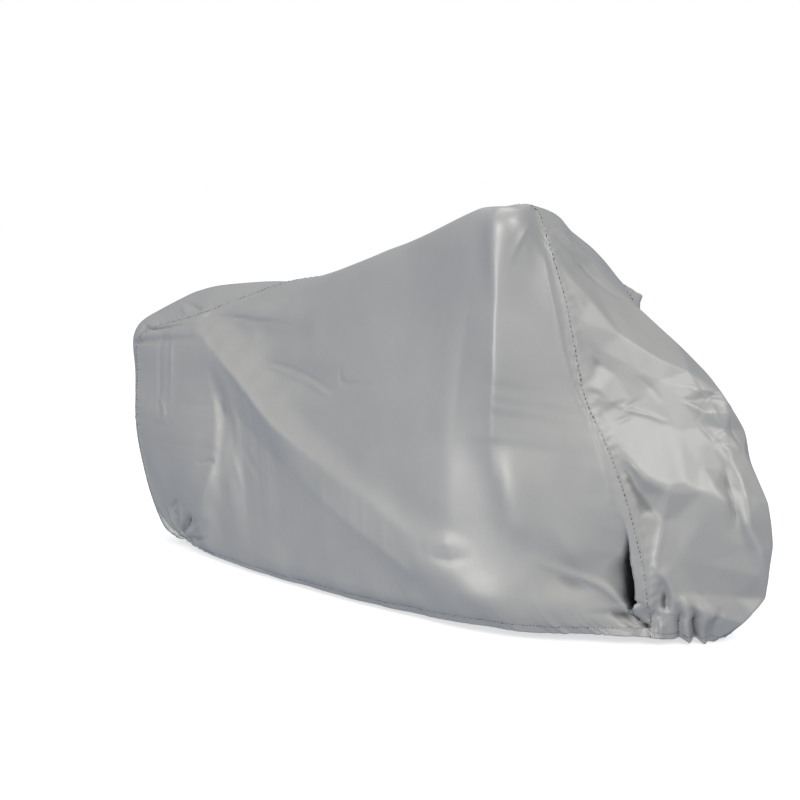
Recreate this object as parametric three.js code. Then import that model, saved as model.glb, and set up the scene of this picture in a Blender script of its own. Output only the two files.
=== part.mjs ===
// A fitted motorcycle cover as it hangs: two side panels and one long centre panel, all of thin coated cloth.
// Millimetres, +Z up, +X to the front, +Y to the left.
import * as THREE from 'three';

// Cloth and seams
const CLOTH_THICKNESS = 2.0;
const SEAM_GAP = 0.3;

// Cells of each panel: along the length, up the side, and across the centre panel.
// Surfaces are worked out at twice these numbers, so that each cell has a middle point.
const CELLS_ALONG = 44;
const CELLS_UP = 24;
const CELLS_ACROSS = 12;
const FINE = 2;

// Cross-section of the centre panel: 0 is a tent with a sharp ridge, and a larger number rounds it
const ARCH_ROUNDING = 0.4;

// How far up from hem to ridge the belly levels lie, and how much of the belly each one takes
const BELLY_LEVELS = [
  { name: 'roll', rise: 0.06, share: 0.55 },
  { name: 'low', rise: 0.25, share: 0.9 },
  { name: 'middle', rise: 0.45, share: 1.0 },
  { name: 'waist', rise: 0.61, share: 0.88 },
  { name: 'shoulder', rise: 0.8, share: 0.46 },
];

// Sections of the right panel from the rear seam to the front seam.
// Heights are above the ground, and belly is how far the middle stands out from a straight fall.
// Sway is how far a seam wanders to the front at each belly level.
const RIGHT_SECTIONS = [
  { name: 'rear seam', hem: [-850, -100, 170],
    ridge: [-1000, -105, 800], seam: [-885, -100, 850], belly: [-80, -12] },
  { name: 'tail', hem: [-500, -200, 160],
    ridge: [-655, -150, 835], seam: [-690, -120, 900], belly: [0, -15] },
  { name: 'dip', hem: [-175, -260, 160],
    ridge: [-310, -150, 965], seam: [-375, -80, 998], belly: [0, -35] },
  { name: 'rise', hem: [215, -300, 160],
    ridge: [170, -240, 1110], seam: [150, -160, 1090], belly: [0, -45] },
  { name: 'peak', hem: [535, -300, 170],
    ridge: [567, -360, 1215], seam: [535, -255, 1225], belly: [0, -20] },
  { name: 'front seam', hem: [885, -150, 170],
    ridge: [640, -262, 1145], seam: [600, -245, 1212], belly: [30, -5], sway: [0, 12, -5, -36, -10] },
];

const LEFT_SECTIONS = [
  { name: 'rear seam', hem: [-850, 100, 175],
    ridge: [-985, 105, 800], seam: [-885, 100, 850], belly: [-75, 12] },
  { name: 'tail', hem: [-500, 200, 165],
    ridge: [-655, 150, 840], seam: [-690, 120, 905], belly: [0, 15] },
  { name: 'dip', hem: [-175, 255, 160],
    ridge: [-310, 190, 930], seam: [-340, 120, 965], belly: [0, 30] },
  { name: 'rise', hem: [215, 290, 160],
    ridge: [170, 270, 945], seam: [165, 190, 985], belly: [0, 40] },
  { name: 'peak', hem: [535, 290, 170],
    ridge: [508, 348, 980], seam: [505, 262, 1018], belly: [0, 10] },
  { name: 'front seam', hem: [880, 150, 185],
    ridge: [620, 252, 915], seam: [575, 250, 985], belly: [35, 10], sway: [0, 10, -5, -20, -5] },
];

// Crown of the centre panel: its middle line, level with each height of the rear seam,
// then each section of the top seams, then each height of the front seam
const REAR_CROWN = [
  { name: 'hem', at: [-900, 0, 165] },
  { name: 'roll', at: [-960, 0, 195] },
  { name: 'low', at: [-1015, 0, 310] },
  { name: 'middle', at: [-1060, 0, 460] },
  { name: 'waist', at: [-1093, 0, 575] },
  { name: 'shoulder', at: [-1108, 0, 695] },
  { name: 'ridge', at: [-1108, 0, 815] },
];
const TOP_CROWN = [
  { name: 'tail edge', at: [-1000, 0, 888] },
  { name: 'tail', at: [-720, 0, 976] },
  { name: 'dip', at: [-345, 0, 1000] },
  { name: 'rise', at: [155, 10, 1040] },
  { name: 'peak', at: [535, 10, 1125] },
];
const FRONT_CROWN = [
  { name: 'brow', at: [600, 10, 1110] },
  { name: 'ridge', at: [700, 15, 1000] },
  { name: 'shoulder', at: [905, 35, 832] },
  { name: 'waist', at: [998, 38, 740] },
  { name: 'middle', at: [1056, 40, 610] },
  { name: 'low', at: [1105, 35, 430] },
  { name: 'roll', at: [1085, 30, 225] },
  { name: 'hem', at: [1005, 20, 150] },
];

// Folds of each panel: ridges have a depth above zero and troughs below it.
// Each path runs through [x, y, z, depth], and width is from the middle of the fold to where it fades out.
const RIGHT_FOLDS = [
  { name: 'long ridge from the tail to the front hem', width: 115,
    path: [[-730, -125, 880, 0], [-420, -195, 655, 24], [-125, -270, 495, 26],
      [240, -330, 345, 16], [655, -270, 205, 8]] },
  { name: 'trough under the long ridge', width: 110,
    path: [[-735, -150, 800, 0], [-520, -200, 600, -22], [-270, -250, 470, -24],
      [50, -300, 345, -10], [300, -310, 270, 0]] },
  { name: 'hollow under the tail seam', width: 75,
    path: [[-635, -140, 870, -10], [-440, -165, 845, -20], [-230, -190, 850, -6]] },
  { name: 'pull across the flank', width: 65,
    path: [[-445, -170, 785, -4], [-280, -200, 750, -12], [-25, -260, 735, -3]] },
  { name: 'fall from the peak', width: 65,
    path: [[570, -365, 1190, 14], [565, -350, 855, 14], [585, -330, 555, 8], [655, -270, 220, 3]] },
  { name: 'hollow behind the fall', width: 95,
    path: [[495, -355, 900, -4], [495, -350, 600, -15], [490, -335, 345, -8]] },
  { name: 'low trough to the front corner', width: 70,
    path: [[615, -305, 370, -6], [735, -240, 310, -16], [850, -175, 215, -8]] },
  { name: 'tuck beside the front seam', width: 75,
    path: [[780, -220, 500, -10], [800, -205, 365, -46], [820, -190, 250, -34]] },
  { name: 'ridge beside the front seam', width: 50,
    path: [[635, -280, 1090, 10], [665, -270, 925, 14], [695, -260, 790, 14],
      [770, -230, 600, 16], [825, -205, 440, 12]] },
  { name: 'rear ridge', width: 75,
    path: [[-825, -130, 800, 6], [-845, -140, 555, 14], [-850, -130, 330, 4]] },
  { name: 'rear trough', width: 85,
    path: [[-715, -145, 800, -6], [-725, -160, 560, -18], [-720, -160, 300, -10]] },
  { name: 'rear edge of the flank', width: 75,
    path: [[-585, -185, 560, 4], [-600, -180, 400, 14], [-635, -175, 220, 12]] },
];

const LEFT_FOLDS = [
  { name: 'long ridge from the tail', width: 120,
    path: [[-700, 130, 860, 0], [-330, 225, 560, 20], [60, 300, 400, 18], [480, 310, 250, 6]] },
  { name: 'trough under the long ridge', width: 110,
    path: [[-700, 160, 720, 0], [-420, 225, 480, -18], [-60, 280, 330, -12], [220, 300, 250, 0]] },
  { name: 'fall from the corner', width: 75,
    path: [[530, 355, 930, 12], [545, 335, 600, 12], [590, 300, 300, 4]] },
  { name: 'hollow behind the fall', width: 100,
    path: [[400, 340, 800, -5], [410, 335, 560, -15], [420, 320, 300, -6]] },
  { name: 'tuck beside the front seam', width: 80,
    path: [[770, 225, 520, -8], [800, 205, 360, -26], [825, 185, 240, -18]] },
  { name: 'rear trough', width: 90,
    path: [[-730, 145, 760, -5], [-740, 160, 500, -15], [-720, 165, 280, -8]] },
];

const CENTRE_FOLDS = [
  { name: 'edge of the nose', width: 75,
    path: [[815, -205, 625, 4], [880, -185, 580, 18], [970, -130, 555, 24],
      [1055, -50, 510, 20], [1085, 60, 485, 6]] },
  { name: 'hollow under the nose', width: 85,
    path: [[880, -180, 480, -8], [960, -140, 450, -20], [1050, -70, 410, -10]] },
  { name: 'right fall of the nose', width: 65,
    path: [[1030, -75, 580, 4], [1085, -30, 375, 14], [1090, 0, 260, 10]] },
  { name: 'left fall of the nose', width: 80,
    path: [[1040, 110, 560, 4], [1060, 120, 375, 14], [1050, 120, 260, 8]] },
  { name: 'pull over the brow', width: 70,
    path: [[650, -200, 1130, 2], [730, -90, 1030, 6], [830, 10, 920, 6], [930, 70, 800, 3]] },
  { name: 'hollow below the brow', width: 90,
    path: [[690, -200, 960, 0], [790, -140, 850, -8], [870, -80, 760, -4]] },
  { name: 'first pleat', width: 60, path: [[905, -160, 330, -4], [895, -160, 190, -20]] },
  { name: 'second pleat', width: 60, path: [[960, -140, 300, -4], [960, -135, 190, -18]] },
  { name: 'third pleat', width: 60, path: [[1040, -85, 310, -4], [1030, -80, 190, -20]] },
  { name: 'fourth pleat', width: 70, path: [[1080, 60, 300, -4], [1065, 60, 190, -18]] },
  { name: 'rear hollow', width: 80,
    path: [[-1070, 20, 720, -3], [-1060, 15, 480, -8], [-1010, 10, 260, -10]] },
];
const FOLD_STEPS = 40;

const vector = (triple) => new THREE.Vector3(...triple);

// The points of a section, from its hem up over its ridge to its seam
function sectionPoints(section) {
  const hem = vector(section.hem);
  const ridge = vector(section.ridge);
  const belly = new THREE.Vector3(section.belly[0], section.belly[1], 0);
  const between = BELLY_LEVELS.map(({ rise, share }, level) => {
    const point = hem.clone().lerp(ridge, rise).addScaledVector(belly, share);
    if (section.sway) point.x += section.sway[level];
    return point;
  });
  return [hem, ...between, ridge, vector(section.seam)];
}

// A side panel's surface: curves along the length through each level, then a curve up through them
function sideSurface(sections) {
  const stations = sections.map(sectionPoints);
  const rails = stations[0].map((_, level) =>
    new THREE.CatmullRomCurve3(stations.map((points) => points[level]), false, 'catmullrom', 0.5));
  return (along, up) => {
    const levels = rails.map((rail) => rail.getPoint(along));
    return new THREE.CatmullRomCurve3(levels, false, 'catmullrom', 0.5).getPoint(up);
  };
}

// Points of a side panel, row by row from the hem up, each row from the rear seam to the front seam
function sideGrid(surface) {
  const rows = FINE * CELLS_UP;
  const columns = FINE * CELLS_ALONG;
  return Array.from({ length: rows + 1 }, (_, row) =>
    Array.from({ length: columns + 1 }, (__, column) => surface(column / columns, row / rows)));
}

// The places in a side grid that the centre panel is sewn to: up the rear, along the top, down the front.
// Each has the place just inside it.
function sewnPlaces(grid) {
  const last = grid.length - 1;
  const end = grid[0].length - 1;
  const places = [];
  for (let row = 0; row < last; row += 1) {
    places.push({ row, column: 0, insideRow: row, insideColumn: 1 });
  }
  for (let column = 0; column <= end; column += 1) {
    const insideColumn = THREE.MathUtils.clamp(column, 1, end - 1);
    places.push({ row: last, column, insideRow: last - 1, insideColumn });
  }
  for (let row = last - 1; row >= 0; row -= 1) {
    places.push({ row, column: end, insideRow: row, insideColumn: end - 1 });
  }
  return places;
}

// The crown's points, level with the points of the sewn edges
function crownLine() {
  const curve = new THREE.CatmullRomCurve3(
    [...REAR_CROWN, ...TOP_CROWN, ...FRONT_CROWN].map(({ at }) => vector(at)), false, 'catmullrom', 0.5);
  const spans = [
    { cells: FINE * CELLS_UP, sections: REAR_CROWN.length },
    { cells: FINE * CELLS_ALONG, sections: TOP_CROWN.length },
    { cells: FINE * CELLS_UP, sections: FRONT_CROWN.length - 1 },
  ];
  const allSections = spans.reduce((sum, span) => sum + span.sections, 0);
  const points = [curve.getPoint(0)];
  let start = 0;
  for (const { cells, sections } of spans) {
    for (let cell = 1; cell <= cells; cell += 1) {
      points.push(curve.getPoint((start + sections * cell / cells) / allSections));
    }
    start += sections;
  }
  return points;
}

// Points of the centre panel: each row is a tent from the right edge over the crown to the left edge,
// with two nearly flat sides and a rounded ridge
function centreGrid(right, left) {
  const places = sewnPlaces(right);
  const columns = FINE * CELLS_ACROSS;
  const fall = (share) => Math.hypot(share, ARCH_ROUNDING) - ARCH_ROUNDING;
  return crownLine().map((crown, station) => {
    const { row, column } = places[station];
    const middle = right[row][column].clone().lerp(left[row][column], 0.5);
    const half = left[row][column].clone().sub(middle);
    const height = crown.clone().sub(middle);
    return Array.from({ length: columns + 1 }, (_, across) => {
      const share = 2 * across / columns - 1;
      const rise = 1 - fall(share) / fall(1);
      return middle.clone().addScaledVector(half, share).addScaledVector(height, rise);
    });
  });
}

// Outward directions of a grid of points, from the lines between each point's neighbours
function gridNormals(grid, hand) {
  return grid.map((row, r) => row.map((_, c) => {
    const below = grid[Math.max(r - 1, 0)][c];
    const above = grid[Math.min(r + 1, grid.length - 1)][c];
    const before = row[Math.max(c - 1, 0)];
    const after = row[Math.min(c + 1, row.length - 1)];
    const along = after.clone().sub(before);
    const up = above.clone().sub(below);
    return along.cross(up).multiplyScalar(hand).normalize();
  }));
}

// A fold as a list of close points along its path, each with its depth there
function foldSteps({ path, width }) {
  const line = new THREE.CatmullRomCurve3(path.map(([x, y, z]) => new THREE.Vector3(x, y, z)));
  const depths = new THREE.CatmullRomCurve3(path.map(([, , , depth]) => new THREE.Vector3(depth, 0, 0)));
  const steps = [];
  for (let step = 0; step <= FOLD_STEPS; step += 1) {
    steps.push({ at: line.getPoint(step / FOLD_STEPS), depth: depths.getPoint(step / FOLD_STEPS).x });
  }
  return { steps, width };
}

// How far all folds together push a point outwards: each is a soft bump across its nearest step
function foldHeight(point, folds) {
  let height = 0;
  for (const { steps, width } of folds) {
    let nearest = steps[0];
    let distance = Infinity;
    for (const step of steps) {
      const away = step.at.distanceTo(point);
      if (away < distance) {
        distance = away;
        nearest = step;
      }
    }
    if (distance < width) height += nearest.depth * (1 + Math.cos(Math.PI * distance / width)) / 2;
  }
  return height;
}

// A grid with its folds pushed out or in along its outward directions, but for the columns in keep
function foldedGrid(grid, hand, foldTable, keep) {
  const folds = foldTable.map(foldSteps);
  const normals = gridNormals(grid, hand);
  return grid.map((row, r) => row.map((point, c) =>
    point.clone().addScaledVector(normals[r][c], keep.includes(c) ? 0 : foldHeight(point, folds))));
}

// Sews a side panel to an edge of the centre panel: both get one direction along the seam,
// so that their cut faces lie side by side, and each steps back square to the seam by half the gap
function sew(side, centre, edge, inside) {
  const seam = centre.grid.map((row) => row[edge].clone());
  sewnPlaces(side.grid).forEach(({ row, column, insideRow, insideColumn }, station) => {
    const shared = side.normals[row][column].clone().add(centre.normals[station][edge]).normalize();
    side.normals[row][column] = shared;
    centre.normals[station][edge] = shared;
    const before = seam[Math.max(station - 1, 0)];
    const after = seam[Math.min(station + 1, seam.length - 1)];
    const across = after.clone().sub(before).cross(shared).normalize();
    const stepBack = (point, towards) => {
      const way = Math.sign(towards.clone().sub(point).dot(across));
      point.addScaledVector(across, way * SEAM_GAP / 2);
    };
    stepBack(side.grid[row][column], side.grid[insideRow][insideColumn]);
    stepBack(centre.grid[station][edge], centre.grid[station][inside]);
  });
}

// A closed sheet: the grid as its outer face, the same grid one thickness further in, and a rim round both.
// Each cell is split along the diagonal that passes nearer to its middle point.
function sheetGeometry({ grid, middles, normals, hand }) {
  const rows = grid.length;
  const columns = grid[0].length;
  const positions = [];
  for (const depth of [0, CLOTH_THICKNESS]) {
    grid.forEach((row, r) => row.forEach((point, c) => {
      const placed = point.clone().addScaledVector(normals[r][c], -depth);
      positions.push(placed.x, placed.y, placed.z);
    }));
  }
  const inner = rows * columns;
  const index = [];
  const triangle = (a, b, c) => (hand > 0 ? index.push(a, b, c) : index.push(a, c, b));
  const quad = (a, b, c, d) => {
    triangle(a, b, c);
    triangle(a, c, d);
  };
  const missedBy = (p, q, middle) => p.clone().lerp(q, 0.5).distanceTo(middle);
  for (let r = 0; r < rows - 1; r += 1) {
    for (let c = 0; c < columns - 1; c += 1) {
      const start = r * columns + c;
      const corners = [start, start + 1, start + columns + 1, start + columns];
      const rising = missedBy(grid[r][c], grid[r + 1][c + 1], middles[r][c]);
      const falling = missedBy(grid[r][c + 1], grid[r + 1][c], middles[r][c]);
      if (falling < rising) corners.push(corners.shift());
      const [first, second, third, fourth] = corners;
      quad(first, second, third, fourth);
      quad(first + inner, fourth + inner, third + inner, second + inner);
    }
  }
  const rim = [];
  for (let c = 0; c < columns - 1; c += 1) rim.push(c);
  for (let r = 0; r < rows - 1; r += 1) rim.push(r * columns + columns - 1);
  for (let c = columns - 1; c > 0; c -= 1) rim.push((rows - 1) * columns + c);
  for (let r = rows - 1; r > 0; r -= 1) rim.push(r * columns);
  rim.forEach((here, place) => {
    const next = rim[(place + 1) % rim.length];
    quad(here, here + inner, next + inner, next);
  });
  const geometry = new THREE.BufferGeometry();
  geometry.setAttribute('position', new THREE.Float32BufferAttribute(positions, 3));
  geometry.setIndex(index);
  geometry.computeVertexNormals();
  return geometry;
}

// A panel as cut: every other point of its fine grid, the middle points of its cells and its outward
// directions. Hand is 1 where rows and columns turn anticlockwise seen from outside, -1 where clockwise.
function cutPanel(fineGrid, hand) {
  const every = (list, start) => list.filter((_, place) => place % FINE === start);
  const grid = every(fineGrid, 0).map((row) => every(row, 0));
  const middles = every(fineGrid, 1).map((row) => every(row, 1));
  return { grid, middles, hand, normals: gridNormals(grid, hand) };
}

// Silver grey woven polyester with a satin coating
function silverCloth() {
  return new THREE.MeshStandardMaterial({ color: 0xa3a5a8, roughness: 0.55, metalness: 0.1 });
}

function panelMesh(name, cut) {
  const mesh = new THREE.Mesh(sheetGeometry(cut), silverCloth());
  mesh.name = name;
  return mesh;
}

const rightGrid = foldedGrid(sideGrid(sideSurface(RIGHT_SECTIONS)), 1, RIGHT_FOLDS, []);
const leftGrid = foldedGrid(sideGrid(sideSurface(LEFT_SECTIONS)), -1, LEFT_FOLDS, []);
const middleGrid = foldedGrid(centreGrid(rightGrid, leftGrid), -1, CENTRE_FOLDS, [0, FINE * CELLS_ACROSS]);

const right = cutPanel(rightGrid, 1);
const left = cutPanel(leftGrid, -1);
const centre = cutPanel(middleGrid, -1);
sew(right, centre, 0, 1);
sew(left, centre, CELLS_ACROSS, CELLS_ACROSS - 1);

const cover = new THREE.Group();
cover.add(panelMesh('side_panel_right', right));
cover.add(panelMesh('side_panel_left', left));
cover.add(panelMesh('centre_panel', centre));

// The origin is under the middle of the cover, level with its lowest hem
const box = new THREE.Box3().setFromObject(cover);
cover.position.set(-(box.min.x + box.max.x) / 2, -(box.min.y + box.max.y) / 2, -box.min.z);

export default cover;
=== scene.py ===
# %% [markdown]
# # A motorcycle cover of silver cloth
# The cover is sewn from three panels: a right and a left side, and one long centre panel that
# runs from the rear hem over the top to the front hem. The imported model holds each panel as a
# plain sheet with its main folds. This lesson turns them into thin coated cloth with creases,
# gathers, seams and stitches, and sets the cover in a pale studio.

# %% Frame
import math

import bpy
import numpy as np
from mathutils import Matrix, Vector
from mathutils.geometry import delaunay_2d_cdt


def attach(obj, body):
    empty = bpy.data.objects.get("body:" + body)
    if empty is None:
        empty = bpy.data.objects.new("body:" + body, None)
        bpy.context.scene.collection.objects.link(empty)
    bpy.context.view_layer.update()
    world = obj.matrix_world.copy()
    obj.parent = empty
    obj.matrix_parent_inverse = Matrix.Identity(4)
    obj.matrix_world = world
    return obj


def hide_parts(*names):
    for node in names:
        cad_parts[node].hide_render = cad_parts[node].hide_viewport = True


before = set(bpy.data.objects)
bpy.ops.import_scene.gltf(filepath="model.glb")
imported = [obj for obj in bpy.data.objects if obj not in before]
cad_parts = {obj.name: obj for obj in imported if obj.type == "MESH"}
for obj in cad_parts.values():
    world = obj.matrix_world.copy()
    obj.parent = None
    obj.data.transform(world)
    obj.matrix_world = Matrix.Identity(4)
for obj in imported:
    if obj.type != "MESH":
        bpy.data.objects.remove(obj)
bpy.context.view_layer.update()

# %% [markdown]
# ## Camera
# The photograph is taken from the right-hand front corner at about chest height, with a longish
# lens. Setting the camera first means that every later step can be judged in the same view.

# %% Camera
CAMERA_AT = Vector((2.580, -3.308, 1.082))
CAMERA_AIM = Vector((-0.006, 0.001, 0.522))

camera = bpy.data.objects.new("camera", bpy.data.cameras.new("camera"))
camera.location = CAMERA_AT
camera.rotation_euler = (CAMERA_AIM - CAMERA_AT).to_track_quat("-Z", "Y").to_euler()
camera.data.sensor_width = 36
camera.data.lens = 66.76
bpy.context.scene.collection.objects.link(camera)
bpy.context.scene.camera = camera

# %% [markdown]
# ## Reading a panel back as a grid
# Cloth is woven as a grid, and it is far easier to crease, gather and sew when the mesh is one
# too. Each packed panel was made from rows and columns of points, so they can be found again:
# drop the narrow rim, keep the outer of the two skins, walk round its border to the corners,
# and fill the rows in one by one.

# %% Outer skin of a packed sheet
PACKED_THICKNESS = 0.002
RIM_WIDTH = 1.3 * PACKED_THICKNESS
WELD_DIGITS = 5
HEART = np.array((0.0, 0.0, 0.4))


def skins(node):
    """The welded points of a packed sheet, and its triangles without the narrow rim."""
    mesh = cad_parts[node].data
    points = np.empty(3 * len(mesh.vertices))
    mesh.vertices.foreach_get("co", points)
    mesh.calc_loop_triangles()
    triangles = np.empty(3 * len(mesh.loop_triangles), np.int32)
    mesh.loop_triangles.foreach_get("vertices", triangles)
    _, first, place = np.unique(points.reshape(-1, 3).round(WELD_DIGITS), axis=0,
                                return_index=True, return_inverse=True)
    points = points.reshape(-1, 3)[first]
    triangles = place.reshape(-1)[triangles].reshape(-1, 3)
    sides = points[triangles] - points[np.roll(triangles, 1, axis=1)]
    return points, triangles[np.linalg.norm(sides, axis=2).min(1) > RIM_WIDTH]


def outer_skin(node):
    """Points and triangles of the skin that faces away from the heart of the cover."""
    points, triangles = skins(node)
    label = np.arange(len(points))
    while True:
        lowest = label.copy()
        np.minimum.at(lowest, triangles.ravel(), np.repeat(label[triangles].min(1), 3))
        if (lowest == label).all():
            break
        label = lowest
    a, b, c = (points[triangles[:, corner]] for corner in range(3))
    outward = (np.cross(b - a, c - a) * (a - HEART)).sum(1)
    skin_of = label[triangles[:, 0]]
    flow = {skin: outward[skin_of == skin].sum() for skin in np.unique(skin_of)}
    return points, triangles[skin_of == max(flow, key=flow.get)]


# %% Rows and columns of a skin
X, Y, Z = 0, 1, 2


def grid_of(node, rows, columns, up, along):
    """A skin's points as rows x columns. Rows go up one axis and columns along another."""
    points, triangles = outer_skin(node)
    edges = {(int(t[i]), int(t[(i + 1) % 3])) for t in triangles for i in range(3)}
    near = {}
    for a, b in edges:
        near.setdefault(a, set()).add(b)
        near.setdefault(b, set()).add(a)
    after = {a: b for a, b in edges if (b, a) not in edges}
    loop = [min(after)]
    while after[loop[-1]] != loop[0]:
        loop.append(after[loop[-1]])
    ring = points[loop]
    ahead = np.roll(ring, -1, 0) - ring
    ahead /= np.linalg.norm(ahead, axis=1, keepdims=True)
    turn = 1 - (ahead * np.roll(ahead, 1, 0)).sum(1)
    size = len(loop)
    corners = np.cumsum([0, columns, rows, columns])
    start = max(range(size), key=lambda s: turn[(s + corners) % size].sum())
    found = np.full((rows + 1, columns + 1), -1)
    found[0] = [loop[(start + c) % size] for c in range(columns + 1)]
    found[:, 0] = [loop[start - r] for r in range(rows + 1)]
    for r in range(rows):
        for c in range(1, columns + 1):
            both = near[found[r, c]] & near[found[r + 1, c - 1]]
            found[r + 1, c] = (both - {found[r, c - 1]}).pop()
    grid = points[found]
    if grid[0, :, up].mean() > grid[-1, :, up].mean():
        grid = grid[::-1, ::-1]
    if grid[:, 0, along].mean() > grid[:, -1, along].mean():
        grid = grid[:, ::-1]
    return grid


CELLS_ALONG, CELLS_UP, CELLS_ACROSS = 44, 24, 12
STATIONS = 2 * CELLS_UP + CELLS_ALONG
right_cells = grid_of("side_panel_right", CELLS_UP, CELLS_ALONG, Z, X)
left_cells = grid_of("side_panel_left", CELLS_UP, CELLS_ALONG, Z, X)
centre_cells = grid_of("centre_panel", STATIONS, CELLS_ACROSS, X, Y)
for name, cells in (("right", right_cells), ("left", left_cells), ("centre", centre_cells)):
    print(name, "panel cells", cells.shape, "first corner", cells[0, 0].round(3))

# %% [markdown]
# ## A finer grid
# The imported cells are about 45 mm wide, which is right for a solid but too coarse for creases.
# A natural cubic spline through each row and column gives a smooth sheet with a point about every
# 5 mm. It is linear in the points, so it is just a matrix on either side of the grid.
# Extra lines close to the edges leave room for the narrow groove of a seam.

# %% Splines as matrices
EDGE_LINES = (0.04, 0.11)


def places(cells, fine):
    """Where the fine lines lie, counted in cells, with two more beside each edge."""
    edges = np.array(EDGE_LINES)
    return np.unique(np.concatenate([np.linspace(0, cells, fine * cells + 1), edges, cells - edges]))


def spline(count, at):
    """Matrix from a line's points to the points of a natural cubic spline at those places."""
    left = np.eye(count)
    right = np.zeros((count, count))
    for i in range(1, count - 1):
        left[i, i - 1:i + 2] = 1, 4, 1
        right[i, i - 1:i + 2] = 6, -12, 6
    bend = np.linalg.solve(left, right)
    k = np.minimum(at.astype(int), count - 2)
    t = (at - k)[:, None]
    lines = np.eye(count)
    return ((1 - t) * lines[k] + t * lines[k + 1]
            + ((1 - t) ** 3 - (1 - t)) / 6 * bend[k] + (t ** 3 - t) / 6 * bend[k + 1])


def finer(cells, rows_at, columns_at):
    """A grid through all cells at the given places."""
    across = spline(cells.shape[1], columns_at)
    return np.einsum("ri,ijk,cj->rck", spline(cells.shape[0], rows_at), cells, across)


SIDE_FINE = 8
side_up = places(CELLS_UP, SIDE_FINE)
side_along = places(CELLS_ALONG, SIDE_FINE)
right_grid = finer(right_cells, side_up, side_along)
left_grid = finer(left_cells, side_up, side_along)
print("side panel lines", right_grid.shape[:2])

# %% [markdown]
# The centre panel is sewn to both sides: up the rear, along the top and down the front. It gets
# its finest lines on the front, where the cloth is most crumpled. Its two edges are moved onto
# the side panels' edges, and the move fades out towards the middle, so the seams stay shut.

# %% Centre panel, sewn to the sides
REAR_FINE, TOP_FINE, FRONT_FINE, ACROSS_FINE = 6, 5, 12, 10
rear_up = places(CELLS_UP, REAR_FINE)
top_along = places(CELLS_ALONG, TOP_FINE)
front_up = places(CELLS_UP, FRONT_FINE)
centre_at = np.concatenate([rear_up, CELLS_UP + top_along[1:], (STATIONS - front_up)[::-1][1:]])
centre_across = places(CELLS_ACROSS, ACROSS_FINE)
centre_grid = finer(centre_cells, centre_at, centre_across)


def sewn_edge(cells):
    """A side panel's edge from the rear hem over the top to the front hem."""
    rear = spline(CELLS_UP + 1, rear_up) @ cells[:, 0]
    top = spline(CELLS_ALONG + 1, top_along) @ cells[-1]
    front = spline(CELLS_UP + 1, front_up) @ cells[:, -1]
    return np.concatenate([rear, top[1:], front[::-1][1:]])


REACH = 0.25
MM = 1000
share = centre_across / CELLS_ACROSS
for edge, cells, away in ((0, right_cells, share), (-1, left_cells, 1 - share)):
    pull = np.clip(1 - away / REACH, 0, 1) ** 2
    move = sewn_edge(cells) - centre_grid[:, edge]
    centre_grid = centre_grid + pull[None, :, None] * move[:, None, :]
    print("edge moved by at most", round(MM * np.linalg.norm(move, axis=1).max(), 1), "mm")

# %% [markdown]
# ## Measuring the cloth
# Creases are pushed along the cloth's outward direction. Gathers and the weave follow distances
# measured in the cloth, from the hem up and from one seam to the other.

# %% Directions and distances in a grid
TINY = 1e-12


def unit(vectors):
    """Vectors of length one, along the last axis."""
    return vectors / np.maximum(np.linalg.norm(vectors, axis=-1, keepdims=True), TINY)


def outward(grid):
    """Unit directions square to the cloth, away from the heart of the cover."""
    normal = unit(np.cross(np.gradient(grid, axis=1), np.gradient(grid, axis=0)))
    return normal * np.sign((normal * (grid - HEART)).sum())


def run(grid, axis):
    """Distance in the cloth from the first line along an axis."""
    steps = np.linalg.norm(np.diff(grid, axis=axis), axis=2)
    start = np.zeros_like(np.take(steps, [0], axis=axis))
    return np.concatenate([start, np.cumsum(steps, axis=axis)], axis=axis)


def smooth(value, low, high):
    """0 below low, 1 above high and a soft step between."""
    t = np.clip((value - low) / (high - low), 0, 1)
    return t * t * (3 - 2 * t)


# %% [markdown]
# ## Places that settle
# Some places give way as a whole: the top of the peak is pressed flat by what holds it, and the
# hem draws the lower corners in. Each row holds a place, a reach and a move, in metres. It moves
# everything within its reach, and all panels alike, so the seams stay shut. A faint unevenness is
# added in the same way.

# %% Shared shifts
SHIFTS = [
    ("flat of the peak", (0.59, -0.33, 1.085), 0.11, (0, 0, -0.014)),
    ("shoulder of the peak", (0.62, -0.16, 1.03), 0.12, (0.007, 0, 0.012)),
    ("corner of the brow", (0.58, 0.3, 0.825), 0.05, (0.008, 0.006, 0.003)),
    ("tip of the brow", (0.585, 0.305, 0.825), 0.022, (0.009, 0.008, 0.004)),
    ("gather at the front corner", (0.875, -0.15, 0.05), 0.06, (-0.008, 0.018, 0)),
    ("gather at the rear corner", (-0.8, -0.115, 0.03), 0.07, (0, 0.016, 0)),
]
UNEVEN, UNEVEN_WAVES, UNEVEN_LENGTHS = 0.0005, 6, (0.1, 0.26)
PHASE = (0, 6)


def settled(grid, seed=5):
    """A grid after the shared shifts, with a little unevenness."""
    random = np.random.default_rng(seed)
    out = grid.copy()
    for _, at, reach, move in SHIFTS:
        t = np.clip(np.linalg.norm(grid - at, axis=2) / reach, 0, 1)
        out += ((1 - t * t) ** 2)[..., None] * move
    for _ in range(UNEVEN_WAVES):
        wave = random.normal(size=3)
        wave *= 2 * math.pi / random.uniform(*UNEVEN_LENGTHS) / np.linalg.norm(wave)
        out += UNEVEN * np.sin(grid @ wave + random.uniform(*PHASE))[..., None] * random.normal(size=3)
    return out


right_grid, left_grid, centre_grid = settled(right_grid), settled(left_grid), settled(centre_grid)

# %% [markdown]
# ## Creases
# Each crease is one row of a table: a path in the shared frame with the height at each point, above
# zero for a ridge and below it for a trough, all in millimetres. Width is how far the crease
# reaches to either side. Sharp is 0 for a soft roll and 1 for a pressed fold. Lean is how far a
# fold tips over sideways for each step outwards, so that it hangs over its neighbour.

# %% Creases of the right panel


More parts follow.
